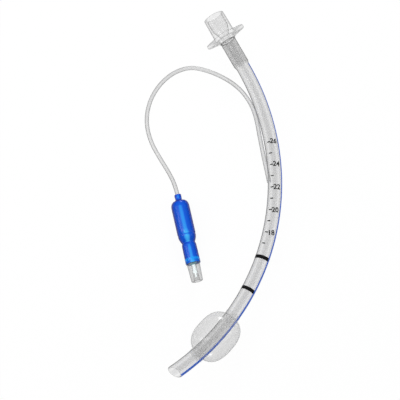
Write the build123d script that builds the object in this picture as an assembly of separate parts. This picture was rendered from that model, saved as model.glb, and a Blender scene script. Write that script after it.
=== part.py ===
from build123d import *
import os
from math import atan2, cos, degrees, pi, radians, sin, tan

# A cuffed endotracheal tube of 7.5 mm bore, lying on a table as it comes to rest.
# Millimetres, +Z up, +Y from the tip towards the connector. The origin is on the table,
# under the middle of the tube, connector and cuff without the inflation line.

# Tube
BORE = 7.5
WALL = 1.25
BEND_RADIUS = 170.0          # of the tube's centreline
BEND_TOP_DEG = 29.5          # where the bend runs into the straight bell
TIP_DEG = -54.2
TIP_BEVEL_DEG = 17.0         # the cut faces up, so the tube's upper side is shorter
TIP_SKEW_DEG = 17.0          # and out of the bend, so its outer side is shorter too
TIP_ROUND = 0.45
BELL_LENGTH = 19.5           # the end that is stretched over the connector's stem
BELL_SHOULDER = 2.0
STRIPE_WIDTH = 1.6           # the blue X-ray line, extruded in the wall's outer side
STRIPE_DEPTH = 0.5
STRIPE_TIP_GAP = 0.15        # of clear plastic over its end at the tip

# The small channel in the wall that leads air to the cuff
CHANNEL_R = 0.35
CHANNEL_DEPTH = 0.6          # from the tube's inner side of the bend to the channel's axis
PORT_R = 0.6

# Connector: a 15 mm male cone, a flange with two ears, and the stem in the tube
CONE_END_D = 15.47
CONE_TAPER = 1 / 40          # on the diameter
CONE_LENGTH = 16.0
MOUTH_BORE_R = 6.2
MOUTH_BORE_LENGTH = 10.0
THROAT_LENGTH = 6.0
RIM_ROUND = 0.4
FLANGE_R = 9.7
EAR_REACH = 15.2
EAR_R = 3.2
FLANGE_THICK = 2.5
FLANGE_ROUND = 0.7
EAR_ROLL_DEG = -30.0         # of the ears out of the plane of the bend
ROOT_LENGTH = 2.4            # the step on the stem that the tube's end butts on
ROOT_R = 6.0
RIB_THICK = 1.2
RIB_REACH = 11.5
RIB_FOOT = 0.5               # how far a rib's foot sits in from the root's side
STEM_WALL = 0.85
STEM_BORE_R = 3.6
STEM_LEAD = 1.2              # length of the taper that leads the stem into the tube
STEM_LEAD_DROP = 0.3

# Cuff
CUFF_DEG = -41.3
CUFF_R = 14.05
CUFF_HALF_LENGTH = 17.0
CUFF_SQUARENESS = 2.5        # exponent of its rounded outline, 2 would be an ellipse
CUFF_FILM = 0.25
CUFF_NECK_WALL = 0.35
CUFF_NECK_END = 21.0         # from the cuff's middle, along the tube

# Inflation line: the route of its middle on the table, from the tube to the pilot balloon
LINE_R = 1.45
LINE_EXIT_DEG = -1.2
LINE_ROUTE = [
    (30.8, 3.5, 5.2), (29.3, 11.5, 4.8), (26.7, 25.5, 3.5), (24.3, 40.0, 2.2), (21.7, 56.5, 1.5),
    (18.1, 66.5, 1.5), (12.1, 75.6, 1.5), (5.0, 82.2, 1.5), (-3.1, 87.2, 1.5), (-12.9, 91.6, 1.5),
    (-24.9, 94.4, 1.5), (-37.1, 90.2, 1.5), (-47.5, 80.6, 1.5), (-54.5, 67.2, 1.5), (-56.5, 52.5, 1.5),
    (-53.1, 37.5, 1.5), (-45.9, 24.6, 1.6), (-39.5, 13.5, 3.4), (-35.0, 2.9, 6.35), (-33.0, -6.1, 6.35),
]

# Pilot balloon, with the line in its collar and the valve in its sleeve
PILOT_AT = (-33.7, -3.0)     # the collar's mouth
PILOT_HEADING_DEG = -77.4
PILOT_COLLAR_R = 2.35
PILOT_COLLAR_LENGTH = 4.2
PILOT_R = 6.35
PILOT_SHOULDER_RISE = 1.5    # of the balloon's end above the collar, at the balloon's side
PILOT_SHOULDER_ROUND = 4.4
PILOT_LENGTH = 35.3          # collar's mouth to waist
PILOT_NECK_DOWN = 4.5        # length of the taper into the waist
PILOT_WAIST_R = 4.55
PILOT_WAIST_LENGTH = 0.5
PILOT_FILM = 0.4
SLEEVE_RISE = 1.1            # length of the shoulder from the waist out to the sleeve
SLEEVE_TOP_R = 5.0
SLEEVE_R = 5.2
SLEEVE_LENGTH = 15.0
LINE_IN_COLLAR = 3.2

# Valve in the pilot balloon's sleeve
VALVE_LENGTH = 26.2
VALVE_R = 4.6
VALVE_EDGE = 0.3             # chamfers and small leads of the valve's pieces
LUER_R = 4.5
LUER_DRAFT = 0.5
LUER_MOUTH_R = 2.135
LUER_TAPER = 0.06            # on the diameter
LUER_DEPTH = 7.5
CHAMBER_R = 3.0
CHAMBER_START = 1.6
SEAT_FROM_MOUTH = 13.2
SEAT_LENGTH = 1.4
VALVE_THROAT_R = 1.75
INLET_R = 1.2
SEAL_GAP = 0.08
PLUNGER_PIN_R = 0.5
PLUNGER_HEAD_R = 1.45
PLUNGER_NECK_R = 1.0
PLUNGER_PIN_END = 3.2        # below the valve's mouth
PLUNGER_PIN_LENGTH = 2.8
PLUNGER_HEAD_LENGTH = 4.2
PLUNGER_COLLAR_R = 2.6
PLUNGER_COLLAR_THICK = 0.8
SEAL_DEPTH = 1.6             # from the seat's middle to the collar that backs the seal
SEAL_LIP = 0.9
SPRING_GUIDE_LENGTH = 3.6
SPRING_GUIDE_R = 1.2
SPRING_WIRE_R = 0.22
SPRING_COIL_R = 2.2
SPRING_TURNS = 5

TUBE_R = BORE / 2 + WALL
STEM_R = STEM_BORE_R + STEM_WALL
BELL_R = STEM_R + WALL
CONE_BASE_R = (CONE_END_D + CONE_LENGTH * CONE_TAPER) / 2
STEM_LENGTH = ROOT_LENGTH + BELL_LENGTH
CUT_REACH = 4                # degrees of sweep beyond an end that is cut to shape
VALVE_START = PILOT_LENGTH + PILOT_WAIST_LENGTH + SLEEVE_RISE
SEAT_AT = VALVE_LENGTH - SEAT_FROM_MOUTH
SEAT_MIDDLE = SEAT_AT + SEAT_LENGTH / 2
SEAL_BACK = SEAT_MIDDLE - SEAL_DEPTH
COLLAR_BACK = SEAL_BACK - PLUNGER_COLLAR_THICK


def on_bend(angle_deg, inset=0.0):
    """A plane across the tube: x to the outside of the bend, y up, z towards the tip."""
    a = radians(angle_deg)
    r = BEND_RADIUS - inset
    return Plane(origin=(r * cos(a), r * sin(a), 0), x_dir=(cos(a), sin(a), 0), z_dir=(sin(a), -cos(a), 0))


def bent(section, from_deg, to_deg):
    """A section of the tube swept round the bend, from the lower angle to the higher."""
    return revolve(on_bend(from_deg) * section, Axis.Z, to_deg - from_deg)


def lathe(outline):
    """A solid of revolution about Z from a closed outline of (radius, height) points."""
    return revolve(Plane.XZ * make_face(outline), Axis.Z)


def ring(outer_r, inner_r):
    return Circle(outer_r) - Circle(inner_r)


# Tube
def tip_cut():
    """The block beyond the bevelled end."""
    size = 6 * TUBE_R
    block = Pos(0, 0, size / 2) * Box(size, size, size)
    return on_bend(TIP_DEG).location * Rot(-TIP_BEVEL_DEG, TIP_SKEW_DEG, 0) * block


def make_stripe():
    """The X-ray line, flush with the tube's outer side. It ends square, just inside the bevel."""
    band = Pos(TUBE_R - STRIPE_DEPTH / 2 + WALL / 2, 0) * Rectangle(STRIPE_DEPTH + WALL, STRIPE_WIDTH)
    short = TUBE_R * tan(radians(TIP_SKEW_DEG)) + STRIPE_WIDTH / 2 * tan(radians(TIP_BEVEL_DEG))
    end_deg = TIP_DEG + degrees((short + TIP_ROUND + STRIPE_TIP_GAP) / BEND_RADIUS)
    return bent(Circle(TUBE_R) & band, end_deg, BEND_TOP_DEG)


def bell():
    """The straight end over the stem, from the bend's end back to the connector's root."""
    shoulder = BELL_SHOULDER
    length = BELL_LENGTH + shoulder
    outer = [(TUBE_R, 0), (BELL_R, shoulder), (BELL_R, length)]
    inner = [(STEM_R, length), (STEM_R, shoulder), (BORE / 2, shoulder), (BORE / 2, 0)]
    body = lathe(Polyline(*outer, *inner, close=True))
    return on_bend(BEND_TOP_DEG).location * Rot(180, 0, 0) * body


def cuff_channel():
    """The air channel in the wall, and its port inside the cuff."""
    section = Pos(-(TUBE_R - CHANNEL_DEPTH), 0) * Circle(CHANNEL_R)
    channel = bent(section, CUFF_DEG, LINE_EXIT_DEG)
    port = Pos(-TUBE_R, 0, 0) * Rot(0, 90, 0) * Cylinder(PORT_R, 2 * CHANNEL_DEPTH)
    return channel + on_bend(CUFF_DEG).location * port


def make_tube(stripe):
    body = bent(ring(TUBE_R, BORE / 2), TIP_DEG - CUT_REACH, BEND_TOP_DEG) - tip_cut()
    tip_face = body.faces().filter_by(GeomType.PLANE).sort_by(Axis.Y)[0]
    body = fillet(tip_face.edges(), TIP_ROUND)
    return body + bell() - stripe - cuff_channel()


# Connector, along Z from the tip of its stem up to the rim of its cone
def ear_rib():
    """A web along one ear, from the root of the stem out over the flange."""
    web = Polyline((0, 0), (RIB_REACH, 0), (ROOT_R - RIB_FOOT, -ROOT_LENGTH), (0, -ROOT_LENGTH), close=True)
    return extrude(Plane.XZ * make_face(web), RIB_THICK / 2, both=True)


def make_connector():
    """Origin in the middle of the flange's patient side, +Z to the open end."""
    ears = [Pos(side * (EAR_REACH - EAR_R), 0) * Circle(EAR_R) for side in (-1, 1)]
    flange = extrude(make_hull((Circle(FLANGE_R) + ears).edges()), FLANGE_THICK)
    sides = flange.faces().sort_by(Axis.Z)
    flange = fillet(sides[0].edges() + sides[-1].edges(), FLANGE_ROUND)
    top = FLANGE_THICK + CONE_LENGTH
    outline = Polyline(
        (0, -STEM_LENGTH), (STEM_R - STEM_LEAD_DROP, -STEM_LENGTH), (STEM_R, -STEM_LENGTH + STEM_LEAD),
        (STEM_R, -ROOT_LENGTH),
        (ROOT_R, -ROOT_LENGTH), (ROOT_R, 0), (CONE_BASE_R, 0), (CONE_BASE_R, FLANGE_THICK),
        (CONE_END_D / 2, top - RIM_ROUND), (CONE_END_D / 2 - RIM_ROUND, top), (0, top), close=True)
    bore = Polyline(
        (0, -STEM_LENGTH), (STEM_BORE_R, -STEM_LENGTH),
        (STEM_BORE_R, top - MOUTH_BORE_LENGTH - THROAT_LENGTH),
        (MOUTH_BORE_R, top - MOUTH_BORE_LENGTH), (MOUTH_BORE_R, top), (0, top), close=True)
    ribs = [Rot(0, 0, turn) * ear_rib() for turn in (0, 180)]
    return lathe(outline) + flange + ribs - lathe(bore)


def connector_location():
    """On the straight end of the tube, its stem in the bell and its ears rolled."""
    place = on_bend(BEND_TOP_DEG).location * Rot(180, 0, 0) * Pos(0, 0, BELL_SHOULDER + STEM_LENGTH)
    return place * Rot(0, 0, EAR_ROLL_DEG)


# Cuff
def cuff_point(share, half_length, radius):
    """A point of the cuff's outline, from 0 at its middle to 1 at its end on the axis."""
    angle = share * pi / 2
    power = 2 / CUFF_SQUARENESS
    return radius * cos(angle) ** power, half_length * sin(angle) ** power


def cuff_form(half_length, radius, end_r):
    """The balloon as a solid, cut off square where it is end_r from its axis."""
    steps = 7
    last = 1 - 2 / pi * (end_r / radius) ** (CUFF_SQUARENESS / 2)
    upper = [cuff_point(last * i / steps, half_length, radius) for i in range(steps + 1)]
    lower = [(r, -z) for r, z in reversed(upper[1:])]
    outline = Spline(lower + upper)
    end_z = upper[-1][1]
    ends = Polyline(outline @ 1, (0, end_z), (0, -end_z), outline @ 0)
    return lathe(outline + ends)


def make_cuff():
    neck_r = TUBE_R + CUFF_NECK_WALL
    sweep_deg = degrees(CUFF_NECK_END / BEND_RADIUS)
    necks = bent(Circle(neck_r), CUFF_DEG - sweep_deg, CUFF_DEG + sweep_deg)
    lumen = bent(Circle(TUBE_R), CUFF_DEG - sweep_deg - 2, CUFF_DEG + sweep_deg + 2)
    place = on_bend(CUFF_DEG, CUFF_NECK_WALL).location
    outer = place * cuff_form(CUFF_HALF_LENGTH, CUFF_R, neck_r)
    inner = place * cuff_form(CUFF_HALF_LENGTH - CUFF_FILM, CUFF_R - CUFF_FILM, TUBE_R)
    return outer + necks - inner - lumen


# Rest: the tube lies on one ear, on the cuff and on the outside of its bend
def rest_location():
    """The tilt of the bend's plane when it touches the table at those three places."""
    flange_at = (connector_location().position.X, connector_location().position.Y)
    ear_low = (EAR_REACH - EAR_R) * abs(sin(radians(EAR_ROLL_DEG))) + EAR_R
    flange_low = max(ear_low, FLANGE_R)
    cuff_at = on_bend(CUFF_DEG).origin
    low_angle = 0.0
    for _ in range(6):
        third = (BEND_RADIUS * cos(low_angle), BEND_RADIUS * sin(low_angle))
        slope_x, slope_y, height = plane_through(
            (*flange_at, flange_low), (cuff_at.X, cuff_at.Y, CUFF_R), (*third, TUBE_R))
        low_angle = atan2(-slope_y, -slope_x)
    tilted = Plane(origin=(0, 0, height), x_dir=(1, 0, slope_x), z_dir=(-slope_x, -slope_y, 1))
    return tilted.location


def plane_through(a, b, c):
    """Slopes along x and y, and the height at the origin, of the plane through three points."""
    u = Vector(*b) - Vector(*a)
    v = Vector(*c) - Vector(*a)
    n = u.cross(v)
    slope_x, slope_y = -n.X / n.Z, -n.Y / n.Z
    return slope_x, slope_y, a[2] - slope_x * a[0] - slope_y * a[1]


# Pilot balloon and valve, along Z from the collar's mouth to the valve's mouth
def pilot_location():
    heading = radians(PILOT_HEADING_DEG)
    return Plane(origin=(*PILOT_AT, PILOT_R), x_dir=(0, 0, 1), z_dir=(cos(heading), sin(heading), 0)).location


def make_pilot_balloon():
    """One moulded film: a collar on the line, the balloon, and a sleeve on the valve."""
    end = PILOT_LENGTH + SLEEVE_LENGTH
    collar, waist, film = PILOT_COLLAR_LENGTH, PILOT_LENGTH, PILOT_FILM
    shoulder = collar + PILOT_SHOULDER_RISE
    outer = FilletPolyline(
        (0, 0), (PILOT_COLLAR_R, 0), (PILOT_COLLAR_R, collar), (PILOT_R, shoulder),
        (PILOT_R, waist - PILOT_NECK_DOWN), (PILOT_WAIST_R, waist),
        (PILOT_WAIST_R, waist + PILOT_WAIST_LENGTH),
        (SLEEVE_TOP_R, VALVE_START), (SLEEVE_R, end), (0, end),
        radius=[0, 0.3, 0.5, PILOT_SHOULDER_ROUND, 3.0, 0.2, 0.2, 0.4, 0, 0], close=True)
    inner = FilletPolyline(
        (0, collar + film), (PILOT_COLLAR_R, collar + film), (PILOT_R - film, shoulder + 2 * film),
        (PILOT_R - film, waist - PILOT_NECK_DOWN - film), (PILOT_WAIST_R - film, waist - film),
        (PILOT_WAIST_R - film, VALVE_START), (0, VALVE_START),
        radius=[0, 0.5, PILOT_SHOULDER_ROUND - film, 3.0, 0.2, 0, 0], close=True)
    line_bore = Pos(0, 0, LINE_IN_COLLAR / 2) * Cylinder(LINE_R, LINE_IN_COLLAR)
    air_way = Pos(0, 0, collar) * Cylinder(CHANNEL_R * 2, 2 * (collar - LINE_IN_COLLAR) + 2 * film)
    valve_bore = Pos(0, 0, (VALVE_START + end) / 2) * Cylinder(VALVE_R, end - VALVE_START)
    return lathe(outer) - lathe(inner) - line_bore - air_way - valve_bore


def make_valve_body():
    """A clear female luer port with the valve's chamber and seat behind it."""
    port_start = PILOT_LENGTH + SLEEVE_LENGTH - VALVE_START
    edge = VALVE_EDGE
    outline = Polyline(
        (0, 0), (VALVE_R - edge, 0), (VALVE_R, edge), (VALVE_R, port_start), (LUER_R, port_start),
        (LUER_R - LUER_DRAFT, VALVE_LENGTH - edge), (LUER_R - LUER_DRAFT - edge, VALVE_LENGTH),
        (0, VALVE_LENGTH), close=True)
    luer_end_r = LUER_MOUTH_R - LUER_DEPTH * LUER_TAPER / 2
    hollow = Polyline(
        (0, 0), (INLET_R, 0), (INLET_R, CHAMBER_START), (CHAMBER_R, CHAMBER_START), (CHAMBER_R, SEAT_AT),
        (VALVE_THROAT_R, SEAT_AT + SEAT_LENGTH), (VALVE_THROAT_R, VALVE_LENGTH - LUER_DEPTH - edge),
        (luer_end_r, VALVE_LENGTH - LUER_DEPTH), (LUER_MOUTH_R, VALVE_LENGTH), (0, VALVE_LENGTH), close=True)
    return lathe(outline) - lathe(hollow)


def make_valve_plunger():
    """Spring guide, collar, neck, tapered head and the pin that a syringe's tip pushes."""
    guide_end = COLLAR_BACK - SPRING_GUIDE_LENGTH
    pin_end = VALVE_LENGTH - PLUNGER_PIN_END
    head_end = pin_end - PLUNGER_PIN_LENGTH
    outline = Polyline(
        (0, guide_end), (SPRING_GUIDE_R - VALVE_EDGE, guide_end), (SPRING_GUIDE_R, guide_end + VALVE_EDGE),
        (SPRING_GUIDE_R, COLLAR_BACK), (PLUNGER_COLLAR_R, COLLAR_BACK), (PLUNGER_COLLAR_R, SEAL_BACK),
        (PLUNGER_NECK_R, SEAL_BACK), (PLUNGER_NECK_R, head_end - PLUNGER_HEAD_LENGTH),
        (PLUNGER_HEAD_R, head_end), (PLUNGER_PIN_R, head_end), (PLUNGER_PIN_R, pin_end),
        (0, pin_end), close=True)
    return lathe(outline)


def make_valve_seal():
    """The rubber cone on the plunger's neck that closes against the seat."""
    seat_angle = atan2(CHAMBER_R - VALVE_THROAT_R, SEAT_LENGTH)
    wide_r = PLUNGER_COLLAR_R
    start = SEAT_AT + (CHAMBER_R - wide_r) / tan(seat_angle) - SEAL_GAP / sin(seat_angle)
    narrow_r = wide_r - SEAL_LIP * tan(seat_angle)
    outline = Polyline(
        (PLUNGER_NECK_R, SEAL_BACK), (wide_r, SEAL_BACK), (wide_r, start), (narrow_r, start + SEAL_LIP),
        (PLUNGER_NECK_R, start + SEAL_LIP), close=True)
    return lathe(outline)


def make_valve_spring():
    """A coil from the chamber's end wall to the plunger's collar."""
    start = CHAMBER_START + SPRING_WIRE_R
    height = COLLAR_BACK - SPRING_WIRE_R - start
    coil = Helix(pitch=height / SPRING_TURNS, height=height, radius=SPRING_COIL_R, center=(0, 0, start))
    return sweep(Plane(origin=coil @ 0, z_dir=coil % 0) * Circle(SPRING_WIRE_R), path=coil, is_frenet=True)


# Inflation line
def route_radii(points):
    """At each corner, 0.45 of its shorter run over the tangent of half its turn."""
    radii = []
    for before, corner, after in zip(points, points[1:], points[2:]):
        run_in, run_out = Vector(*corner) - Vector(*before), Vector(*after) - Vector(*corner)
        half_turn = radians(run_in.get_angle(run_out)) / 2
        radii.append(0.45 * min(run_in.length, run_out.length) / tan(half_turn))
    return radii


def make_line(airway_tube):
    """The plain tube along the route, cut aslant where it is bonded to the airway tube."""
    radii = route_radii(LINE_ROUTE)
    print("line radii", [round(r, 1) for r in radii])
    path = FilletPolyline(*LINE_ROUTE, radius=radii)
    line = sweep(Plane(origin=path @ 0, z_dir=path % 0) * Circle(LINE_R), path=path)
    ratio = line.volume / (pi * LINE_R**2 * path.length)
    print("line length", round(path.length, 1), "volume ratio", round(ratio, 4))
    return line - airway_tube


def main():
    stripe = make_stripe()
    airway = {
        "tube": make_tube(stripe),
        "radiopaque_line": stripe,
        "connector": connector_location() * make_connector(),
        "cuff": make_cuff(),
    }
    rest = rest_location()
    box = Compound(children=[rest * solid for solid in airway.values()]).bounding_box()
    centre = Pos(-box.center().X, -box.center().Y, -box.min.Z)
    nodes = {name: centre * rest * solid for name, solid in airway.items()}
    valve = pilot_location() * Pos(0, 0, VALVE_START)
    nodes["inflation_line"] = make_line(centre * rest * bent(Circle(TUBE_R), TIP_DEG, BEND_TOP_DEG))
    nodes["pilot_balloon"] = pilot_location() * make_pilot_balloon()
    nodes["valve_body"] = valve * make_valve_body()
    nodes["valve_plunger"] = valve * make_valve_plunger()
    nodes["valve_seal"] = valve * make_valve_seal()
    nodes["valve_spring"] = valve * make_valve_spring()
    os.makedirs("parts", exist_ok=True)
    for name, solid in nodes.items():
        export_step(solid, f"parts/{name}.step")
        print(name, "volume", round(solid.volume, 1), "solids", len(solid.solids()))


main()
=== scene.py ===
# %% [markdown]
# # A cuffed airway tube, lying on a white table
# The part is a clear, bent tube with a hard connector at one end, a slanting tip at the
# other and an inflated cuff near the tip. A thin line leads to a blue pilot balloon with a
# valve in its end. The imported model gives every piece its place, and we read it first. Then
# each surface gets its look, and the clear and soft pieces are modelled again in a finer
# form, because a clear piece shows every facet.

# %% Load the model
from math import atan2, cos, hypot, pi, radians, sin, sqrt

import bpy
from mathutils import Matrix, Vector


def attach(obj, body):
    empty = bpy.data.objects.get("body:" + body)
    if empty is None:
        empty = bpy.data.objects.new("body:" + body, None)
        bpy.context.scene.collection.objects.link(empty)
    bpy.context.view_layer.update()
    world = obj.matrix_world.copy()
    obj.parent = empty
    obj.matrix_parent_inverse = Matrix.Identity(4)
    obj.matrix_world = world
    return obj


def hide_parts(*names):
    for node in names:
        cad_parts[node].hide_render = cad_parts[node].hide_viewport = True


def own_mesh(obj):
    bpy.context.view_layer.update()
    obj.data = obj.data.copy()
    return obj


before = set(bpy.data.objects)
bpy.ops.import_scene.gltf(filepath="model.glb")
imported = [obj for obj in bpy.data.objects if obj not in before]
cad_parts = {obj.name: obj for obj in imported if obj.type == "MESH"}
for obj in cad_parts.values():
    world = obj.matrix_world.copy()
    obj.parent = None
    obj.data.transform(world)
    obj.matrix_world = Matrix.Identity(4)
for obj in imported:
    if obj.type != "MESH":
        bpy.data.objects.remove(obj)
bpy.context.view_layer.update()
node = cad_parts
MM = 0.001
AIRWAY = "airway"
print("nodes:", sorted(node))

# %% [markdown]
# A photographer lays such a tube flat and looks down on it from far off with a long lens, so
# that nothing looks foreshortened. We could turn the part to match the photograph, but it keeps
# its imported place. So the camera is placed instead: a metre away, a little over 73
# degrees up, and aimed just above the table, between the tube and the pilot balloon. The
# lens follows from how many pixels a metre covers in the photograph.

# %% Camera
LOOK_AT = Vector((-18.1, -6.9, 7.0)) * MM
CAMERA_DISTANCE = 1.0
CAMERA_ELEVATION = radians(73.5)
PIXELS_PER_METRE = 1440
PHOTO_WIDTH = 400


def add_camera():
    """A long lens at the photograph's angle."""
    away = Vector((0, -cos(CAMERA_ELEVATION), sin(CAMERA_ELEVATION)))
    bpy.ops.object.camera_add(location=LOOK_AT + away * CAMERA_DISTANCE)
    camera = bpy.context.object
    camera.rotation_euler = (-away).to_track_quat("-Z", "Y").to_euler()
    camera.data.lens = camera.data.sensor_width * PIXELS_PER_METRE * CAMERA_DISTANCE / PHOTO_WIDTH
    bpy.context.scene.camera = camera
    print("lens", round(camera.data.lens, 1), "mm")


add_camera()

# %% [markdown]
# The inflation line is a soft, thin tube that air goes through to the cuff. It is a cord, so
# it is one smooth curve of its real length, and not a chain of cylinders. Its points are the
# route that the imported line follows, down from the tube's side to the table, round in a loop
# and up into the pilot balloon. A NURBS curve of order 3 passes near them without a kink,
# where a Bezier curve would need handles for each of them. Its bevel gives it a thickness.

# %% Inflation line
LINE_DIAMETER = 2.9 * MM
LINE_ROUTE = [
    (30.2, 6.6, 5.05), (29.3, 11.5, 4.8), (26.7, 25.5, 3.5), (24.3, 40.0, 2.2), (21.7, 56.5, 1.5),
    (18.1, 66.5, 1.5), (12.1, 75.6, 1.5), (5.0, 82.2, 1.5), (-3.1, 87.2, 1.5), (-12.9, 91.6, 1.5),
    (-24.9, 94.4, 1.5), (-37.1, 90.2, 1.5), (-47.5, 80.6, 1.5), (-54.5, 67.2, 1.5), (-56.5, 52.5, 1.5),
    (-53.1, 37.5, 1.5), (-45.9, 24.6, 1.6), (-39.5, 13.5, 3.4), (-35.0, 2.9, 6.35), (-33.0, -6.1, 6.35),
]


def add_line():
    """The cord's curve, with its route as control points."""
    curve = bpy.data.curves.new("inflation_line_curve", "CURVE")
    curve.dimensions = "3D"
    curve.resolution_u = 12
    curve.bevel_depth = LINE_DIAMETER / 2
    curve.bevel_resolution = 7
    spline = curve.splines.new("NURBS")
    spline.points.add(len(LINE_ROUTE) - 1)
    for point, place in zip(spline.points, LINE_ROUTE):
        point.co = (*(Vector(place) * MM), 1)
    spline.order_u = 3
    spline.use_endpoint_u = True
    line = bpy.data.objects.new("clear_line", curve)
    bpy.context.scene.collection.objects.link(line)
    return line


line = add_line()
print("line through", len(LINE_ROUTE), "points")

# %% [markdown]
# Every material here starts in the same way, so a few helpers come first. One makes an empty
# node tree, one sets sockets by name, and one gives a surface the slight unevenness that all
# moulded plastic has. Without it a highlight looks as if it were cut out of paper.

# %% Material helpers
def new_material(name):
    """A node material with an empty tree but for its output."""
    material = bpy.data.materials.new(name)
    material.use_nodes = True
    tree = material.node_tree
    tree.nodes.clear()
    return material, tree, tree.nodes.new("ShaderNodeOutputMaterial")


def set_inputs(shader, **values):
    """Sets sockets by name, with an underscore for each space."""
    for name, value in values.items():
        shader.inputs[name.replace("_", " ")].default_value = value


def grey(value):
    """The same value for red, green and blue."""
    return (value, value, value)


def add_bump(tree, shader, scale, height):
    """A fine unevenness of the surface, in object coordinates."""
    place = tree.nodes.new("ShaderNodeTexCoord")
    noise = tree.nodes.new("ShaderNodeTexNoise")
    set_inputs(noise, Scale=scale, Detail=2)
    bump = tree.nodes.new("ShaderNodeBump")
    set_inputs(bump, Distance=height, Strength=1.0)
    tree.links.new(place.outputs["Object"], noise.inputs["Vector"])
    tree.links.new(noise.outputs["Fac"], bump.inputs["Height"])
    tree.links.new(bump.outputs["Normal"], shader.inputs["Normal"])


print("material helpers ready")

# %% [markdown]
# A clear wall looks darker where it turns away from us, because it bends the dark sides of
# the room into its edges. Nothing here bends the light, so that darkening is painted shade, with
# a little real reflection of the room on top. Layer Weight tells how far a surface turns away:
# 0 where it faces the eye and 1 where it is seen edge on. A colour ramp then turns that number
# into a colour or a strength of our choice, so we paint the bands of light and dark that we see:
# painted shade at the edges and painted highlight bands between them.

# %% Shading by the way a surface faces
FACING_BLEND = 0.5


def colour_ramp(tree, stops):
    """A ramp through (place, colour) stops."""
    ramp = tree.nodes.new("ShaderNodeValToRGB")
    while len(ramp.color_ramp.elements) < len(stops):
        ramp.color_ramp.elements.new(0.5)
    for element, (place, colour) in zip(ramp.color_ramp.elements, stops):
        element.position = place
        element.color = (*colour, 1)
    return ramp


def facing_ramp(tree, stops):
    """Colours from the surface that faces the eye, at 0, to the one seen edge on, at 1."""
    weight = tree.nodes.new("ShaderNodeLayerWeight")
    weight.inputs["Blend"].default_value = FACING_BLEND
    ramp = colour_ramp(tree, stops)
    tree.links.new(weight.outputs["Facing"], ramp.inputs["Fac"])
    return ramp


print("facing blend:", FACING_BLEND)

# %% [markdown]
# The tube, the connector, the line, the valve and the cuff are all clear. A glass shader
# with real refraction is one way, but a wall of a millimetre then shows grains and broken
# highlights at this size. So a clear piece is a Transparent shader that a glossy one covers,
# by an amount that we set with a ramp. The walls in front and behind add up, and the
# piece is grey just where it is thick. Shadow rays and diffuse rays pass freely, so that
# light reaches what is inside.

# %% Clear plastics
CLEAR_TINT = 0.97
CLEAR_BUMP_SCALE = 120


def clear_cover(tree, cover):
    """How much of the glossy shader shows: the ramp's value, but none for shadow and diffuse rays."""
    amount = facing_ramp(tree, [(place, grey(value)) for place, value in cover])
    rays = tree.nodes.new("ShaderNodeLightPath")
    passing = tree.nodes.new("ShaderNodeMath")
    passing.operation = "MAXIMUM"
    shown = tree.nodes.new("ShaderNodeMath")
    shown.operation = "SUBTRACT"
    shown.use_clamp = True
    tree.links.new(rays.outputs["Is Shadow Ray"], passing.inputs[0])
    tree.links.new(rays.outputs["Is Diffuse Ray"], passing.inputs[1])
    tree.links.new(amount.outputs["Color"], shown.inputs[0])
    tree.links.new(passing.outputs[0], shown.inputs[1])
    return shown


def clear_plastic(name, stops, cover, roughness, ior, bump=0.0):
    """A Transparent shader, covered by a glossy one by the way it faces."""
    material, tree, output = new_material(name)
    shader = tree.nodes.new("ShaderNodeBsdfPrincipled")
    set_inputs(shader, Roughness=roughness, IOR=ior)
    # Painted shade and highlight: this ramp gives the base colour a lighter band and darker edges, and
    # the cover ramp shows more of it towards the edges.
    colours = facing_ramp(tree, [(place, grey(value)) for place, value in stops])
    tree.links.new(colours.outputs["Color"], shader.inputs["Base Color"])
    if bump:
        add_bump(tree, shader, CLEAR_BUMP_SCALE, bump)
    clear = tree.nodes.new("ShaderNodeBsdfTransparent")
    clear.inputs["Color"].default_value = (*grey(CLEAR_TINT), 1)
    mix = tree.nodes.new("ShaderNodeMixShader")
    tree.links.new(clear_cover(tree, cover).outputs[0], mix.inputs["Fac"])
    tree.links.new(clear.outputs["BSDF"], mix.inputs[1])
    tree.links.new(shader.outputs["BSDF"], mix.inputs[2])
    tree.links.new(mix.outputs["Shader"], output.inputs["Surface"])
    return material


soft_clear = clear_plastic(
    "soft_clear_tube", stops=[(0.0, 0.34), (0.16, 0.5), (0.4, 0.26), (0.65, 0.07)],
    cover=[(0.0, 0.17), (0.06, 0.16), (0.16, 0.06), (0.3, 0.10), (0.5, 0.34), (0.75, 0.9)],
    roughness=0.12, ior=1.6, bump=0.00001)
bore_clear = clear_plastic(
    "bore_clear", stops=[(0.0, 0.34), (0.5, 0.3)],
    cover=[(0.0, 0.20), (0.12, 0.15), (0.3, 0.05), (0.7, 0.12), (1.0, 0.3)], roughness=0.2, ior=1.4)
hard_clear = clear_plastic(
    "hard_clear_plastic", stops=[(0.0, 0.5), (0.4, 0.42), (0.8, 0.10)],
    cover=[(0.0, 0.14), (0.2, 0.09), (0.45, 0.13), (0.85, 0.65)], roughness=0.16, ior=1.7)
stem_clear = clear_plastic(
    "stem_clear", stops=[(0.0, 0.3), (0.5, 0.2), (0.9, 0.06)],
    cover=[(0.0, 0.04), (0.08, 0.06), (0.2, 0.16), (0.35, 0.03), (0.7, 0.14), (0.9, 0.4)],
    roughness=0.12, ior=1.5)
valve_clear = clear_plastic(
    "valve_plastic", stops=[(0.0, 0.36), (0.4, 0.28), (0.8, 0.10)],
    cover=[(0.0, 0.24), (0.3, 0.28), (0.6, 0.4), (0.9, 0.8)], roughness=0.25, ior=1.4)
line_clear = clear_plastic(
    "line_plastic", stops=[(0.0, 0.60), (0.3, 0.45), (0.6, 0.16)],
    cover=[(0.0, 0.36), (0.3, 0.5), (0.7, 0.95)], roughness=0.3, ior=1.8)
cuff_film = clear_plastic(
    "cuff_film", stops=[(0.0, 0.60), (0.7, 0.50), (0.95, 0.22)],
    cover=[(0.0, 0.08), (0.75, 0.16), (0.98, 0.7)], roughness=0.22, ior=2.4, bump=0.00003)
print("clear plastics:", len(bpy.data.materials))

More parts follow.
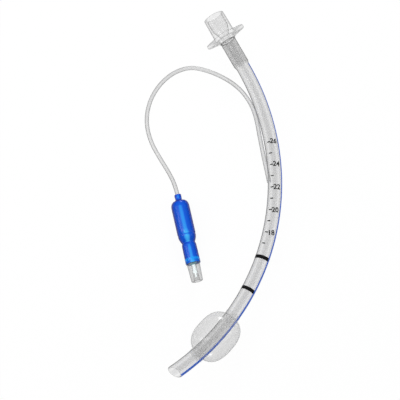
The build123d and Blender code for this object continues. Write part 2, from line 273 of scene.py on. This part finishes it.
# %% [markdown]
# The blue line, the ink and the valve's small parts are solid colours. Each is a Principled
# shader with a fine bump. The plunger is white plastic behind clear plastic, which takes much
# of its light away, so it gets a little glow of its own, painted light, to look as white as it is.

# %% Solid colours
FINE_BUMP_SCALE = 900
FINE_BUMP = 0.00001


def solid_plastic(name, colour, roughness=0.3, **more):
    """A solid-coloured plastic, ink or rubber with a slightly uneven surface."""
    material, tree, output = new_material(name)
    shader = tree.nodes.new("ShaderNodeBsdfPrincipled")
    set_inputs(shader, Base_Color=(*colour, 1), Roughness=roughness, **more)
    add_bump(tree, shader, FINE_BUMP_SCALE, FINE_BUMP)
    tree.links.new(shader.outputs["BSDF"], output.inputs["Surface"])
    return material


stripe_blue = solid_plastic("stripe_blue", (0.02, 0.12, 0.62), roughness=0.4, IOR=1.3)
ink = solid_plastic("black_ink", (0.004, 0.004, 0.005), roughness=0.6, IOR=1.2)
# Painted light: the plunger glows by its emission, in place of the light that the clear body takes
# away.
plunger_white_glow = solid_plastic(
    "plunger_white_glow", (0.85, 0.92, 0.92), Emission_Color=(0.85, 0.95, 0.95, 1), Emission_Strength=0.8)
seal_teal = solid_plastic("seal_teal", (0.05, 0.42, 0.50), roughness=0.5)
spring_wire = solid_plastic("spring_wire", (0.6, 0.6, 0.62), roughness=0.25, Metallic=1.0)
print("materials:", len(bpy.data.materials))

# %% [markdown]
# The pilot balloon's film is a deep blue. The same ramp paints a bright streak along its top,
# a painted highlight, and dark edges, painted shade. Near the end of the sleeve there is a paler
# ring, a painted highlight too. The ring could be a piece of its own, but it is only a change of
# colour. So it is a second ramp, which reads how far along the balloon a point lies.

# %% Blue film
PILOT_ALONG = Vector((cos(radians(-77.4)), sin(radians(-77.4)), 0))
PILOT_AT = Vector((-33.7, -3.0, 6.35))
# Painted highlight: a paler blue ring on the sleeve, between these distances along the balloon.
SLEEVE_HIGHLIGHT_FROM = 43.0
SLEEVE_HIGHLIGHT_TO = 50.5
SLEEVE_HIGHLIGHT_BLUE = (0.0, 0.36, 1.0)
SLEEVE_HIGHLIGHT_STRENGTH = [(0.0, 0.0), (0.45, 0.0), (0.6, 0.8), (0.8, 0.2), (1.0, 0.1)]
FILM_BUMP_SCALE = 200
# The film's deep blue, with a painted highlight streak where it faces the eye and painted shade at its
# edges.
FILM_BLUES_WITH_PAINTED_LIGHT = [
    (0.0, (0.06, 0.50, 1.0)), (0.015, (0.04, 0.42, 1.0)), (0.07, (0.0, 0.10, 0.70)),
    (0.3, (0.0, 0.07, 0.58)), (0.6, (0.0, 0.015, 0.25)), (0.9, (0.0, 0.005, 0.15)),
]


def sleeve_highlight_ring(tree):
    """How strong the painted highlight ring is at a point, by its distance along the balloon."""
    place = tree.nodes.new("ShaderNodeTexCoord")
    along = tree.nodes.new("ShaderNodeVectorMath")
    along.operation = "DOT_PRODUCT"
    along.inputs[1].default_value = PILOT_ALONG
    start = PILOT_AT.dot(PILOT_ALONG)
    reach = tree.nodes.new("ShaderNodeMapRange")
    set_inputs(reach, From_Min=(start + SLEEVE_HIGHLIGHT_FROM) * MM, From_Max=(start + SLEEVE_HIGHLIGHT_TO) * MM)
    ring = colour_ramp(tree, [(spot, grey(value)) for spot, value in SLEEVE_HIGHLIGHT_STRENGTH])
    tree.links.new(place.outputs["Object"], along.inputs[0])
    tree.links.new(along.outputs["Value"], reach.inputs["Value"])
    tree.links.new(reach.outputs["Result"], ring.inputs["Fac"])
    return ring


def blue_plastic(name):
    """Deep blue film with its painted streak and shade, and the sleeve's painted highlight ring mixed
    in.
    """
    material, tree, output = new_material(name)
    shader = tree.nodes.new("ShaderNodeBsdfPrincipled")
    set_inputs(shader, Roughness=0.25, IOR=1.3)
    mix = tree.nodes.new("ShaderNodeMix")
    mix.data_type = "RGBA"
    mix.inputs["B"].default_value = (*SLEEVE_HIGHLIGHT_BLUE, 1)
    tree.links.new(sleeve_highlight_ring(tree).outputs["Color"], mix.inputs["Factor"])
    tree.links.new(facing_ramp(tree, FILM_BLUES_WITH_PAINTED_LIGHT).outputs["Color"], mix.inputs["A"])
    tree.links.new(mix.outputs["Result"], shader.inputs["Base Color"])
    add_bump(tree, shader, FILM_BUMP_SCALE, FINE_BUMP)
    tree.links.new(shader.outputs["BSDF"], output.inputs["Surface"])
    return material


blue_film = blue_plastic("blue_film")
print("ring from", SLEEVE_HIGHLIGHT_FROM, "to", SLEEVE_HIGHLIGHT_TO, "mm along the balloon")

# %% [markdown]
# The valve's body, plunger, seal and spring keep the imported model's shapes. They are small and
# right as they are, so all they need is a material in place of the plain one.

# %% Paint the line and the valve
def paint(piece, material):
    """One material over the whole piece."""
    piece.data.materials.clear()
    piece.data.materials.append(material)


paint(line, line_clear)
paint(node["valve_body"], valve_clear)
paint(node["valve_plunger"], plunger_white_glow)
paint(node["valve_seal"], seal_teal)
paint(node["valve_spring"], spring_wire)
print("painted: line, valve body, plunger, seal and spring")

# %% [markdown]
# A real tube is pushed out straight and then set in a bend by heat, and we do the same. The
# pieces along the tube are modelled straight and in millimetres. Y runs along the tube, X
# points to the outside of the bend and Z up. Y is 0 where the bend ends and the bell begins.
# `bend` carries every vertex round the bend and into its place on the table. The cuff and the
# connector are thicker than the tube and hold its ends up, so PLACE leans the bend by ten
# degrees, which brings its middle close to the table. A Simple Deform modifier bends too, but
# it would bend the bell as well.

# %% The bend
BEND_RADIUS = 170.0
BEND_TOP = radians(29.5)
TUBE_R = 5.0
BORE_R = 3.75
PLACE = Matrix((
    (0.984661, -0.002258, 0.174464, -133.159),
    (0.0, 0.999916, 0.012939, 8.39002),
    (-0.174479, -0.01274, 0.984579, 35.111145),
    (0, 0, 0, 1)))


def bent_point(point):
    """Where a point of the straight model comes to lie, in metres."""
    on_arc = min(point.y, 0.0)
    past_arc = max(point.y, 0.0)
    turn = BEND_TOP + on_arc / BEND_RADIUS
    r = BEND_RADIUS + point.x
    flat = Vector((r * cos(turn) - past_arc * sin(turn), r * sin(turn) + past_arc * cos(turn), point.z))
    return PLACE @ flat * MM


def bend(piece):
    """Bends a straight piece. Its origin stays at the world's origin."""
    for vertex in piece.data.vertices:
        vertex.co = bent_point(vertex.co)
    piece.data.update()


print("bend top at", [round(value, 4) for value in bent_point(Vector((0, 0, 0)))])

# %% [markdown]
# Most pieces here are round, so they are turned on a lathe: an outline is spun about the Y
# axis. The outline starts as a circle, because that is the simplest closed loop, and its
# points are then moved onto the profile. A closed loop gives a closed wall with an inside
# and an outside, which one line and a Solidify modifier would give only at one thickness.

# %% The lathe
def spin_profile(name, profile, steps=64):
    """A closed loop of (radius, height) points, spun about Y into a closed solid."""
    bpy.ops.object.select_all(action="DESELECT")
    bpy.ops.mesh.primitive_circle_add(vertices=len(profile), radius=1)
    piece = bpy.context.object
    piece.name = name
    for vertex, (radius, height) in zip(piece.data.vertices, profile):
        vertex.co = (radius, height, 0)
    bpy.ops.object.mode_set(mode="EDIT")
    bpy.ops.mesh.select_all(action="SELECT")
    bpy.ops.mesh.spin(steps=steps, angle=2 * pi, center=(0, 0, 0), axis=(0, 1, 0))
    bpy.ops.mesh.select_all(action="SELECT")
    bpy.ops.mesh.remove_doubles(threshold=0.0001)
    bpy.ops.mesh.normals_make_consistent(inside=False)
    bpy.ops.object.mode_set(mode="OBJECT")
    return piece


def smooth(piece, angle=40):
    """Smooth shading, with the sharp edges kept."""
    bpy.ops.object.select_all(action="DESELECT")
    piece.select_set(True)
    bpy.context.view_layer.objects.active = piece
    bpy.ops.object.shade_smooth_by_angle(angle=radians(angle))


def two_materials(piece, first, second, is_second):
    """The second material goes on the faces whose middle is_second picks, the first on the rest."""
    piece.data.materials.append(first)
    piece.data.materials.append(second)
    for face in piece.data.polygons:
        face.material_index = int(is_second(face.center))


print("lathe ready")

# %% [markdown]
# The tube is one spun wall: outside, bell, and back down the bore. The bell is the end that
# is stretched over the connector's stem. The tip is cut on a slant, so that it slips past
# what is in its way: a bisect cuts the wall there, the two cut rims are bridged, and a bevel
# rounds the lip. There are no rings near the tip, so that the cut meets only long straight
# faces. The bore has a calmer material than the outside, or its edges would draw a second
# dark line inside the first. Recalculating the normals leaves every face of this long wall
# pointing inwards, so they are flipped.

# %% Tube
TIP_Y = -248.3
TIP_NORMAL = (0.292, -0.914, 0.28)
TIP_CLEAR = 4.0
RING_STEP = 1.6
BELL_SHOULDER = 2.0
BELL_END = 21.5
BELL_R = 5.7
BELL_BORE_R = 4.5
BORE_LIMIT = BELL_BORE_R + 0.1
LIP_ROUND = 0.42


def tube_heights():
    """Rings all along the bend, but none where the tip is cut."""
    first = TIP_Y + TIP_CLEAR
    count = int(-first / RING_STEP)
    return [TIP_Y - TIP_CLEAR] + [first + i * (-first / count) for i in range(count + 1)]


def add_tube():
    """The wall, cut at the tip, rounded and bent."""
    heights = tube_heights()
    outside = [(TUBE_R, y) for y in heights] + [(BELL_R, BELL_SHOULDER), (BELL_R, BELL_END)]
    inside = [(BELL_BORE_R, BELL_END), (BELL_BORE_R, BELL_SHOULDER)]
    inside += [(BORE_R, y) for y in reversed(heights)]
    tube = spin_profile("airway_tube", outside + inside)
    bpy.ops.object.mode_set(mode="EDIT")
    bpy.ops.mesh.select_all(action="SELECT")
    bpy.ops.mesh.bisect(plane_co=(0, TIP_Y, 0), plane_no=TIP_NORMAL, clear_outer=True)
    bpy.ops.mesh.bridge_edge_loops()
    bpy.ops.mesh.bevel(offset=LIP_ROUND, segments=4, affect="EDGES")
    bpy.ops.mesh.select_all(action="SELECT")
    bpy.ops.mesh.normals_make_consistent(inside=False)
    bpy.ops.mesh.flip_normals()
    bpy.ops.object.mode_set(mode="OBJECT")
    two_materials(tube, soft_clear, bore_clear, lambda spot: hypot(spot.x, spot.z) < BORE_LIMIT)
    bend(tube)
    smooth(tube)
    return tube


tube = add_tube()
print("tube:", len(tube.data.polygons), "faces")

# %% [markdown]
# The connector is hard moulded plastic, and its cone fits a breathing circuit. It is one spun
# wall too: stem, root, flange, the tapered cone, and back through its stepped bore. The
# flange isn't round, since it has two ears to hold it by. A boolean with a second shape
# would leave untidy faces, so the rim's vertices are drawn out instead, each as far as the
# flange reaches in its direction.

# %% Connector
FLANGE_Y = 23.9
FLANGE_R = 9.7
FLANGE_ROUND = 0.75
EAR_MIDDLE = 12.0
EAR_R = 3.2
EAR_TURN = radians(-30)
CONNECTOR_OUTSIDE = [
    (3.6, -21.9), (4.15, -21.9), (4.45, -20.7), (4.45, -2.4), (6.0, -2.4), (6.0, 0.0), (9.0, 0.0),
    (9.4, 0.12), (9.62, 0.35), (9.7, 0.7), (9.7, 1.8), (9.62, 2.15), (9.4, 2.38), (9.0, 2.5),
    (8.1, 2.5), (7.93, 2.7)]
CONNECTOR_RIM = [(7.74, 18.1), (7.68, 18.32), (7.5, 18.46), (7.33, 18.5), (6.4, 18.5), (6.2, 18.3)]
CONNECTOR_BORE = [(6.2, 8.5), (6.0, 8.0), (3.8, 2.9), (3.6, 2.4)]


def flange_reach(angle):
    """How far the flange's rim lies from the axis: a disc, two ears and straight sides."""
    angle = abs((angle + pi / 2) % pi - pi / 2)
    lean = pi / 2 - atan2(FLANGE_R - EAR_R, sqrt(EAR_MIDDLE ** 2 - (FLANGE_R - EAR_R) ** 2))
    if angle > lean:
        return FLANGE_R
    if angle > atan2(EAR_R * sin(lean), EAR_MIDDLE + EAR_R * cos(lean)):
        return FLANGE_R / cos(angle - lean)
    return EAR_MIDDLE * cos(angle) + sqrt(EAR_R ** 2 - (EAR_MIDDLE * sin(angle)) ** 2)


def draw_out_ears(piece):
    """Moves the flange's rim outwards to its real outline."""
    for vertex in piece.data.vertices:
        x, y, z = vertex.co
        r, angle = hypot(x, z), atan2(z, x)
        if r > FLANGE_R - FLANGE_ROUND:
            r += flange_reach(angle) - FLANGE_R
        vertex.co = (r * cos(angle), y, r * sin(angle))


print("flange reaches", round(flange_reach(0), 1), "mm at the ears and", FLANGE_R, "mm beside them")

# %% [markdown]
# Below each ear a thin web stiffens the flange. It is a cube whose corners are moved to the
# web's outline, long at the flange and short at its foot. The other web is a copy, turned half
# round the axis, which needs less care than a mirrored one, whose faces would point inwards.
# The webs are joined to the spun body, and the whole is turned so that its ears stand as on
# the table.

# %% Webs, and the finished connector
WEB_IN = 4.6
WEB_OUT = 11.5
WEB_FOOT = 5.5
WEB_HEIGHT = 2.4
WEB_HALF = 0.6
STEM_TOP = -WEB_HEIGHT - 0.1


def add_web():
    """A thin web below an ear, from a cube."""
    bpy.ops.object.select_all(action="DESELECT")
    bpy.ops.mesh.primitive_cube_add(size=2)
    web = bpy.context.object
    for vertex in web.data.vertices:
        x, y, z = vertex.co
        out = WEB_IN if x < 0 else WEB_OUT if y > 0 else WEB_FOOT
        vertex.co = (out, 0 if y > 0 else -WEB_HEIGHT, z * WEB_HALF)
    bpy.ops.object.mode_set(mode="EDIT")
    bpy.ops.mesh.select_all(action="SELECT")
    bpy.ops.mesh.normals_make_consistent(inside=False)
    bpy.ops.object.mode_set(mode="OBJECT")
    return web


def copy_of(piece, move):
    """A copy with its own mesh, moved by a matrix."""
    copy = piece.copy()
    copy.data = piece.data.copy()
    bpy.context.scene.collection.objects.link(copy)
    copy.data.transform(move)
    return copy


def join(pieces, name):
    """One object from several, under the given name."""
    bpy.ops.object.select_all(action="DESELECT")
    for piece in pieces:
        piece.select_set(True)
    bpy.context.view_layer.objects.active = pieces[0]
    bpy.ops.object.join()
    bpy.context.object.name = name
    return bpy.context.object


def add_connector():
    """The spun body with its ears and webs, in its place on the tube."""
    body = spin_profile("connector_body", CONNECTOR_OUTSIDE + CONNECTOR_RIM + CONNECTOR_BORE, steps=96)
    draw_out_ears(body)
    web = add_web()
    other_web = copy_of(web, Matrix.Rotation(pi, 4, "Y"))
    piece = join([body, web, other_web], "clear_connector")
    two_materials(piece, hard_clear, stem_clear, lambda spot: spot.y < STEM_TOP)
    piece.data.transform(Matrix.Translation((0, FLANGE_Y, 0)) @ Matrix.Rotation(EAR_TURN, 4, "Y"))
    bend(piece)
    smooth(piece, angle=35)
    return piece


connector = add_connector()
print("connector:", len(connector.data.polygons), "faces")

# %% [markdown]
# What is printed or laid on the tube is a thin curved plate: the X-ray line, the bands and
# the dashes. A flat plate with a Shrinkwrap modifier would cling to the wall, but its edges
# would creep. So a grid is rolled round the tube's axis, extruded, and the new skin is scaled
# outwards from that axis, which keeps it parallel to the wall.

# %% Plates on the wall
def wall_plate(name, from_y, to_y, rows, from_deg, to_deg, steps, in_r, out_r):
    """A closed plate between two heights and two angles, from in_r to out_r about the axis."""
    bpy.ops.object.select_all(action="DESELECT")
    bpy.ops.mesh.primitive_grid_add(x_subdivisions=steps, y_subdivisions=rows, size=2)
    plate = bpy.context.object
    plate.name = name
    for vertex in plate.data.vertices:
        angle = radians(from_deg + (to_deg - from_deg) * (vertex.co.x + 1) / 2)
        y = from_y + (to_y - from_y) * (vertex.co.y + 1) / 2
        vertex.co = (in_r * cos(angle), y, in_r * sin(angle))
    bpy.ops.object.mode_set(mode="EDIT")
    bpy.ops.mesh.select_all(action="SELECT")
    bpy.ops.mesh.extrude_region()
    bpy.ops.transform.resize(value=(out_r / in_r, 1, out_r / in_r), center_override=(0, 0, 0))
    bpy.ops.mesh.select_all(action="SELECT")
    bpy.ops.mesh.normals_make_consistent(inside=False)
    bpy.ops.object.mode_set(mode="OBJECT")
    return plate


print("wall plates ready")

# %% [markdown]
# The X-ray line is a blue strip in the wall, on the outside of the bend, that shows where the
# tube lies in a patient. A colour band in the tube's material would be quicker, but the strip
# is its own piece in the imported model. It stands a hair proud of the wall, so that the two
# surfaces don't fight for the same place.

# %% Blue line
STRIPE_MIDDLE_DEG = 18.0
STRIPE_HALF_DEG = 22.0
STRIPE_OUT_R = 5.06
STRIPE_IN_R = 4.85
STRIPE_FROM_TIP = 1.8
STRIPE_STEPS = 6
STRIPE_BOTTOM = TIP_Y + STRIPE_FROM_TIP
STRIPE_ROWS = int(-STRIPE_BOTTOM / RING_STEP)
STRIPE_TOP = STRIPE_BOTTOM + STRIPE_ROWS * RING_STEP

stripe = wall_plate(
    "blue_line", STRIPE_BOTTOM, STRIPE_TOP, STRIPE_ROWS, STRIPE_MIDDLE_DEG - STRIPE_HALF_DEG,
    STRIPE_MIDDLE_DEG + STRIPE_HALF_DEG, STRIPE_STEPS, STRIPE_IN_R, STRIPE_OUT_R)
bend(stripe)
smooth(stripe)
paint(stripe, stripe_blue)
print("blue line:", len(stripe.data.polygons), "faces")

# %% [markdown]
# The print is ink on the upper side: two broad bands and a dash for each step of depth. All
# of it lies a hair above the wall. One band and one dash are modelled, and the others are
# copies with their own mesh, moved along the straight tube before the bend.

# %% Bands and dashes
INK_OUT_R = 5.05
INK_IN_R = 5.01
BAND_Y = -146.6
BAND_GAP = 24.8
BAND_WIDTH = 2.6
BAND_FROM_DEG = 8
BAND_TO_DEG = 196
BAND_STEPS = 48
DASH_TOP_Y = -60.7
DASH_PITCH = 8.42
DASH_COUNT = 10
DASH_FROM_DEG = 112
DASH_TO_DEG = 138
DASH_STEPS = 8
DASH_THICK = 0.8
INK_ROWS = 4


def ink_plate(name, y, width, from_deg, to_deg, steps):
    """A plate of ink, centred on y."""
    return wall_plate(
        name, y - width / 2, y + width / 2, INK_ROWS, from_deg, to_deg, steps, INK_IN_R, INK_OUT_R)


def copy_along(piece, shift):
    """A copy, moved along the straight tube."""
    return copy_of(piece, Matrix.Translation((0, shift, 0)))


band = ink_plate("band", BAND_Y, BAND_WIDTH, BAND_FROM_DEG, BAND_TO_DEG, BAND_STEPS)
dash = ink_plate("dash", DASH_TOP_Y, DASH_THICK, DASH_FROM_DEG, DASH_TO_DEG, DASH_STEPS)
ink_pieces = [band, copy_along(band, -BAND_GAP), dash]
ink_pieces += [copy_along(dash, -step * DASH_PITCH) for step in range(1, DASH_COUNT)]
print("bands and dashes:", len(ink_pieces))

# %% [markdown]
# A number stands beside every second dash, upright for the reader however the tube leans
# there. A picture of the numbers as a texture would blur close up, and a text object gives
# real figures. They are flat, though, so each number is made a mesh, turned back by as much
# as the bend will turn it, and wrapped round the wall.

# %% Numbers
FIRST_NUMBER = 26
NUMBER_HEIGHT = 3.7
NUMBER_DEG = 86
NUMBER_BOLD = 0.15
FONT_PER_HEIGHT = 1.35


def add_number(text, y):
    """Upright figures, laid on the wall's curve."""
    bpy.ops.object.select_all(action="DESELECT")
    bpy.ops.object.text_add()
    figures = bpy.context.object
    figures.name = "number_" + text
    figures.data.body = text
    figures.data.size = NUMBER_HEIGHT * FONT_PER_HEIGHT
    figures.data.align_x = "CENTER"
    figures.data.align_y = "CENTER"
    figures.data.offset = NUMBER_BOLD
    figures.data.resolution_u = 4
    bpy.ops.object.convert(target="MESH")
    turn = BEND_TOP + y / BEND_RADIUS
    for vertex in figures.data.vertices:
        across = vertex.co.x * cos(turn) + vertex.co.y * sin(turn)
        along = -vertex.co.x * sin(turn) + vertex.co.y * cos(turn)
        angle = radians(NUMBER_DEG) - across / TUBE_R
        vertex.co = (INK_OUT_R * cos(angle), y + along, INK_OUT_R * sin(angle))
    return figures


for step in range(0, DASH_COUNT, 2):
    ink_pieces.append(add_number(str(FIRST_NUMBER - step), DASH_TOP_Y - step * DASH_PITCH))
printing = join(ink_pieces, "depth_print")
bend(printing)
paint(printing, ink)
print("print:", len(printing.data.polygons), "faces")

# %% [markdown]
# The cuff is a thin film that seals the tube in the windpipe. Blown up, it stands out like a
# barrel with round ends and closes on the tube with a short neck at each side. Cloth with
# pressure would swell it as well, but it is a simple round shape, and a superellipse gives
# the same outline at once. It is spun like the tube, so that it is a real film with two
# sides.

# %% Cuff
CUFF_BELOW_MIDDLE = radians(41.6)
CUFF_Y = -(BEND_TOP + CUFF_BELOW_MIDDLE) * BEND_RADIUS
CUFF_R = 13.95
CUFF_HALF = 17.2
CUFF_POWER = 2.6
CUFF_FILM = 0.2
NECK_R = 5.3
NECK_INNER_R = 5.04
NECK_LENGTH = 3.0
CUFF_STEPS = 26


def barrel(radius, half, end_r):
    """The superellipse from its lower to its upper end, as far in as about end_r."""
    last = 1 - (end_r / radius) ** (CUFF_POWER / 2) * 2 / pi
    points = []
    for i in range(-CUFF_STEPS, CUFF_STEPS + 1):
        angle = abs(i) / CUFF_STEPS * last * pi / 2
        height = half * sin(angle) ** (2 / CUFF_POWER)
        points.append((radius * cos(angle) ** (2 / CUFF_POWER), height if i > 0 else -height))
    return points


def add_cuff():
    """The film with both of its necks, moved along the tube and bent."""
    outside = barrel(CUFF_R, CUFF_HALF, NECK_R)
    inside = barrel(CUFF_R - CUFF_FILM, CUFF_HALF - CUFF_FILM, NECK_INNER_R)
    low, high = outside[0][1] - NECK_LENGTH, outside[-1][1] + NECK_LENGTH
    loop = [(NECK_R, low)] + outside + [(NECK_R, high), (NECK_INNER_R, high)]
    loop += list(reversed(inside)) + [(NECK_INNER_R, low)]
    cuff = spin_profile("cuff_balloon", loop, steps=96)
    cuff.data.transform(Matrix.Translation((0, CUFF_Y, 0)))
    bend(cuff)
    smooth(cuff, angle=60)
    return cuff


cuff = add_cuff()
paint(cuff, cuff_film)
print("cuff:", len(cuff.data.polygons), "faces")

# %% [markdown]
# The pilot balloon is held between two fingers to feel whether the cuff is full. It is
# dipped film: a collar that grips the line, a long body with a crease near its end, a waist,
# and a sleeve over the valve. It is spun from its outline, inside and outside. The balloon
# isn't on the bend, so it is laid straight along its own heading.

# %% Pilot balloon
PILOT_OUTSIDE = [
    (1.55, 0.0), (2.2, 0.0), (2.4, 0.2), (2.4, 1.2), (2.3, 3.2), (2.35, 3.9), (2.7, 4.35), (3.6, 4.7),
    (4.7, 5.2), (5.5, 6.0), (6.05, 7.1), (6.3, 8.4), (6.35, 10.0), (6.35, 14.0), (6.35, 18.0),
    (6.35, 22.0), (6.35, 26.0), (6.33, 28.6), (6.22, 29.2), (6.08, 29.5), (6.12, 29.8), (6.2, 30.3),
    (6.1, 31.2), (5.85, 32.3), (5.4, 33.5), (4.9, 34.6), (4.6, 35.2), (4.55, 35.6), (4.7, 36.1),
    (4.95, 36.6), (5.03, 37.4), (5.06, 40.0), (5.1, 43.0), (5.14, 46.0), (5.2, 49.9), (5.12, 50.3)]
PILOT_INSIDE = [
    (4.64, 50.3), (4.64, 37.0), (4.1, 36.8), (4.1, 35.0), (4.6, 33.8), (5.3, 32.2), (5.8, 29.8),
    (5.95, 28.0), (5.95, 10.0), (5.5, 7.6), (4.4, 5.8), (2.2, 4.9), (0.7, 4.6), (0.7, 3.3), (1.55, 3.2)]


def add_pilot():
    """The film, laid along its heading on the table."""
    pilot = spin_profile("pilot_balloon_film", PILOT_OUTSIDE + PILOT_INSIDE)
    across = Vector((0, 0, 1))
    side = across.cross(PILOT_ALONG)
    for vertex in pilot.data.vertices:
        x, y, z = vertex.co
        vertex.co = (PILOT_AT + across * x + PILOT_ALONG * y + side * z) * MM
    smooth(pilot, angle=50)
    return pilot


pilot = add_pilot()
paint(pilot, blue_film)
print("pilot balloon:", len(pilot.data.polygons), "faces")

# %% [markdown]
# Each new piece rides on the airway's body and stands for the imported piece of its name. The
# print stands for no piece, since it is only ink. The line is a cord, with the pilot balloon and
# the valve on its end.

# %% What rides on what
def stand_for(piece, replaced):
    """The piece rides with the airway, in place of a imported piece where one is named."""
    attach(piece, AIRWAY)
    if replaced:
        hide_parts(replaced)


stand_for(tube, "tube")
stand_for(connector, "connector")
stand_for(stripe, "radiopaque_line")
stand_for(printing, None)
stand_for(cuff, "cuff")
stand_for(pilot, "pilot_balloon")
stand_for(line, "inflation_line")

# %% [markdown]
# When a syringe pushes the plunger in, the spring behind it gets shorter. It can't ride on
# the plunger, which moves as a whole, nor on the body, which doesn't move. Here it only gets a
# mesh of its own, and keeps its imported shape.


def squash_spring():
    """The spring gets a mesh of its own."""
    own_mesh(node["valve_spring"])


squash_spring()

# %% [markdown]
# The table is white. More light would make it whiter, but would also wash the clear pieces
# out. So to the camera, and through the clear pieces, most of the table glows plain white,
# as in the photograph, and the rest is a lit white surface that keeps a soft shadow.

# %% Table
TABLE_SIZE = 6
TABLE_WHITE = 0.95
SEEN_GLOW = 0.95
THROUGH_GLOW = 0.85


def ray_share(tree, rays, kind, value):
    """The value for one kind of ray and 0 for the others."""
    share = tree.nodes.new("ShaderNodeMath")
    share.operation = "MULTIPLY"
    share.inputs[1].default_value = value
    tree.links.new(rays.outputs[kind], share.inputs[0])
    return share


def white_table():
    """A lit white surface that glows to the camera and to rays that come through clear pieces."""
    material, tree, output = new_material("white_table")
    lit = tree.nodes.new("ShaderNodeBsdfDiffuse")
    lit.inputs["Color"].default_value = (*grey(TABLE_WHITE), 1)
    glow = tree.nodes.new("ShaderNodeEmission")
    rays = tree.nodes.new("ShaderNodeLightPath")
    share = tree.nodes.new("ShaderNodeMath")
    share.operation = "MAXIMUM"
    mix = tree.nodes.new("ShaderNodeMixShader")
    seen = ray_share(tree, rays, "Is Camera Ray", SEEN_GLOW)
    through = ray_share(tree, rays, "Is Transmission Ray", THROUGH_GLOW)
    tree.links.new(seen.outputs[0], share.inputs[0])
    tree.links.new(through.outputs[0], share.inputs[1])
    tree.links.new(share.outputs[0], mix.inputs["Fac"])
    tree.links.new(lit.outputs["BSDF"], mix.inputs[1])
    tree.links.new(glow.outputs["Emission"], mix.inputs[2])
    tree.links.new(mix.outputs["Shader"], output.inputs["Surface"])
    return material


def add_table():
    """A wide white floor under the part."""
    bpy.ops.object.select_all(action="DESELECT")
    bpy.ops.mesh.primitive_plane_add(size=TABLE_SIZE)
    table = bpy.context.object
    table.name = "table"
    table.data.materials.append(white_table())
    print("table glows by", SEEN_GLOW)


add_table()

# %% [markdown]
# Clear plastic shows the room more than itself. A room of one brightness would leave it flat,
# so ours is bright overhead and dark towards the horizon, which draws the edges. A ramp on
# the direction's height does that. The camera itself still sees plain white.

# %% Room
HORIZON = 0.12
ZENITH = 0.75
HORIZON_UP_TO = 0.15
ZENITH_FROM = 0.8


def add_world():
    """White to the camera. Otherwise dark at the horizon and bright overhead."""
    world = bpy.data.worlds.new("studio")
    bpy.context.scene.world = world
    world.use_nodes = True
    tree = world.node_tree
    tree.nodes.clear()
    output = tree.nodes.new("ShaderNodeOutputWorld")
    direction = tree.nodes.new("ShaderNodeTexCoord")
    split = tree.nodes.new("ShaderNodeSeparateXYZ")
    ramp = colour_ramp(tree, [(HORIZON_UP_TO, grey(HORIZON)), (ZENITH_FROM, grey(ZENITH))])
    room = tree.nodes.new("ShaderNodeBackground")
    white = tree.nodes.new("ShaderNodeBackground")
    set_inputs(white, Color=(1, 1, 1, 1), Strength=1.0)
    rays = tree.nodes.new("ShaderNodeLightPath")
    mix = tree.nodes.new("ShaderNodeMixShader")
    tree.links.new(direction.outputs["Generated"], split.inputs["Vector"])
    tree.links.new(split.outputs["Z"], ramp.inputs["Fac"])
    tree.links.new(ramp.outputs["Color"], room.inputs["Color"])
    tree.links.new(rays.outputs["Is Camera Ray"], mix.inputs["Fac"])
    tree.links.new(room.outputs["Background"], mix.inputs[1])
    tree.links.new(white.outputs["Background"], mix.inputs[2])
    tree.links.new(mix.outputs["Shader"], output.inputs["Surface"])
    print("room from", HORIZON, "to", ZENITH)


add_world()

# %% [markdown]
# Three soft lamps stand around the table. A bare point lamp would leave a hard speck on each
# curve, where a long lamp draws a highlight all along the tube. The long one stands on the
# left, a thin weak one on the right lifts the other edge, and a broad one at the back lights
# the far side, as a window would.

# %% Lamps
def add_lamp(name, place, width, length, power):
    """A soft long lamp, its long side along the table's Y, that faces the middle of the part."""
    bpy.ops.object.light_add(type="AREA", location=place)
    lamp = bpy.context.object
    lamp.name = name
    lamp.data.shape = "RECTANGLE"
    lamp.data.size = width
    lamp.data.size_y = length
    lamp.data.energy = power
    lamp.rotation_euler = (LOOK_AT - Vector(place)).to_track_quat("-Z", "Y").to_euler()


add_lamp("left_softbox", (-0.75, 0.0, 0.85), width=0.12, length=1.2, power=4.5)
add_lamp("right_strip", (0.9, 0.1, 0.6), width=0.05, length=1.2, power=1.5)
add_lamp("back_window", (0.1, 1.3, 0.5), width=0.4, length=0.3, power=8)
print("lamps:", len(bpy.data.lights))

# %% [markdown]
# Last, the Standard view keeps white as white.

# %% Finish
bpy.context.scene.view_settings.view_transform = "Standard"
